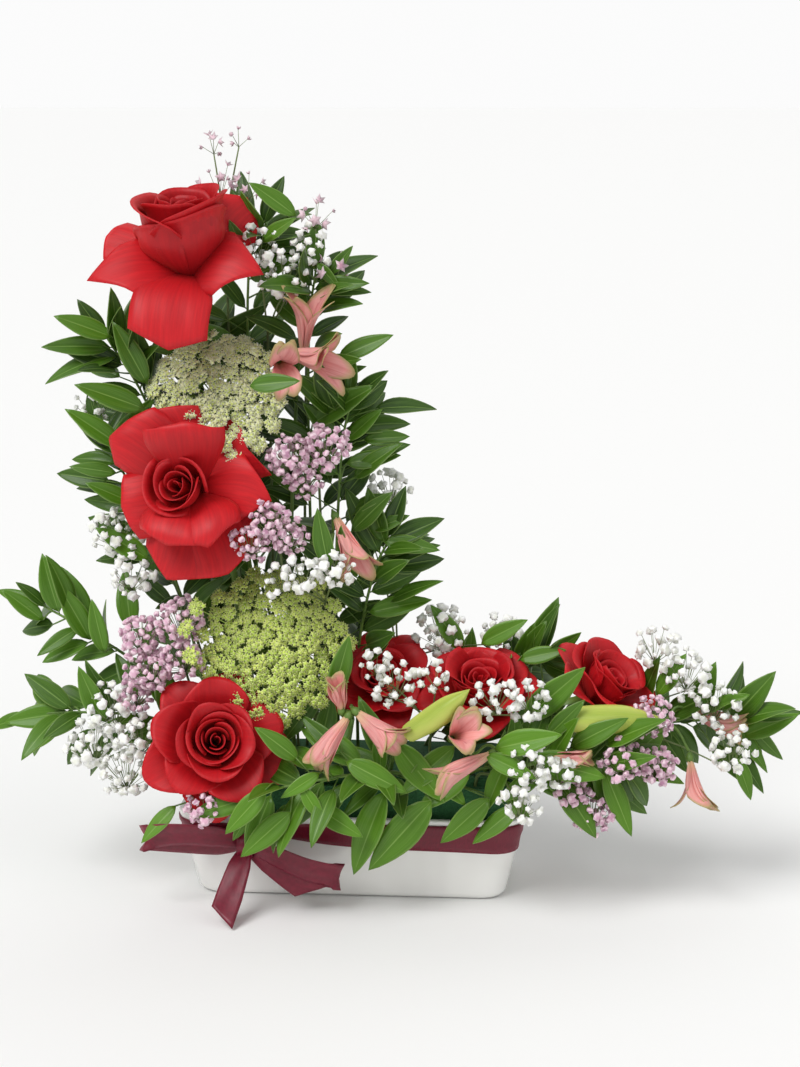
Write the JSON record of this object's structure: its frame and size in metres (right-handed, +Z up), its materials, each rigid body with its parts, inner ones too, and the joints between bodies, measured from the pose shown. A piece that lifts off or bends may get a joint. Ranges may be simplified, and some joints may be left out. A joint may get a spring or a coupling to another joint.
{
  "type": "flower arrangement",
  "caption": "L-shaped table arrangement of red roses, umbels, lily buds, small filler flowers and leafy sprays in a white ceramic trough of floral foam, tied with a satin ribbon bow.",
  "frame": {"origin": "middle of the trough's flat underside, on the surface it stands on", "axes": "+Z up, -Y towards the viewer (the flowers' side), +X along the trough towards the low arm"},
  "size_m": [0.5763, 0.2089, 0.5467],
  "materials": {
    "glazed_trough": "clear gloss glaze over white slip",
    "floral_foam": "wet open-cell foam, matte",
    "satin_ribbon": "satin weave, sheen",
    "rose_petal": "fresh petal, velvety",
    "green_stem": "fresh green stem, semi-matte",
    "lace_umbel": "tiny florets, matte",
    "lily_bud": "waxy closed petals, satin",
    "alstroemeria_petal": "fresh petal, satin",
    "statice_flower": "papery calyces, matte",
    "gypsophila_flower": "tiny double blooms, matte",
    "waxflower_petal": "waxy petals, satin",
    "ruscus_leaf": "leathery leaf, semi-gloss"
  },
  "bodies": {
    "root": {"alstroemeria_bud": "alstroemeria_petal", "alstroemeria_end": "alstroemeria_petal", "alstroemeria_front_left": "alstroemeria_petal", "alstroemeria_front_right": "alstroemeria_petal", "alstroemeria_middle": "alstroemeria_petal", "alstroemeria_top": "alstroemeria_petal", "bow_knot": "satin_ribbon", "bow_loop_left": "satin_ribbon", "bow_loop_right": "satin_ribbon", "floral_foam": "floral_foam", "gypsophila_arm": "gypsophila_flower", "gypsophila_back": "gypsophila_flower", "gypsophila_centre": "gypsophila_flower", "gypsophila_far_left": "gypsophila_flower", "gypsophila_front": "gypsophila_flower", "gypsophila_left": "gypsophila_flower", "gypsophila_rim": "gypsophila_flower", "gypsophila_top": "gypsophila_flower", "lace_lower": "lace_umbel", "lace_upper": "lace_umbel", "lily_bud_left": "lily_bud", "lily_bud_right": "lily_bud", "ribbon_band": "satin_ribbon", "ribbon_tail_long": "satin_ribbon", "ribbon_tail_short": "satin_ribbon", "rose_arm_bloom": "rose_petal", "rose_arm_stem": "green_stem", "rose_end_bloom": "rose_petal", "rose_end_stem": "green_stem", "rose_inner_bloom": "rose_petal", "rose_inner_stem": "green_stem", "rose_lower_bloom": "rose_petal", "rose_lower_stem": "green_stem", "rose_middle_bloom": "rose_petal", "rose_middle_stem": "green_stem", "rose_top_bloom": "rose_petal", "rose_top_stem": "green_stem", "ruscus_arm_back": "ruscus_leaf", "ruscus_arm_end": "ruscus_leaf", "ruscus_arm_front": "ruscus_leaf", "ruscus_back": "ruscus_leaf", "ruscus_far_left": "ruscus_leaf", "ruscus_left_high": "ruscus_leaf", "ruscus_left_mid": "ruscus_leaf", "ruscus_low_left": "ruscus_leaf", "ruscus_right_high": "ruscus_leaf", "ruscus_right_low": "ruscus_leaf", "ruscus_right_mid": "ruscus_leaf", "ruscus_skirt": "ruscus_leaf", "ruscus_top": "ruscus_leaf", "statice_arm": "statice_flower", "statice_left": "statice_flower", "statice_low": "statice_flower", "statice_middle": "statice_flower", "statice_rim_left": "statice_flower", "statice_upper": "statice_flower", "trough": "glazed_trough", "waxflower_side": "waxflower_petal", "waxflower_top": "waxflower_petal"}
  },
  "joints": []
}
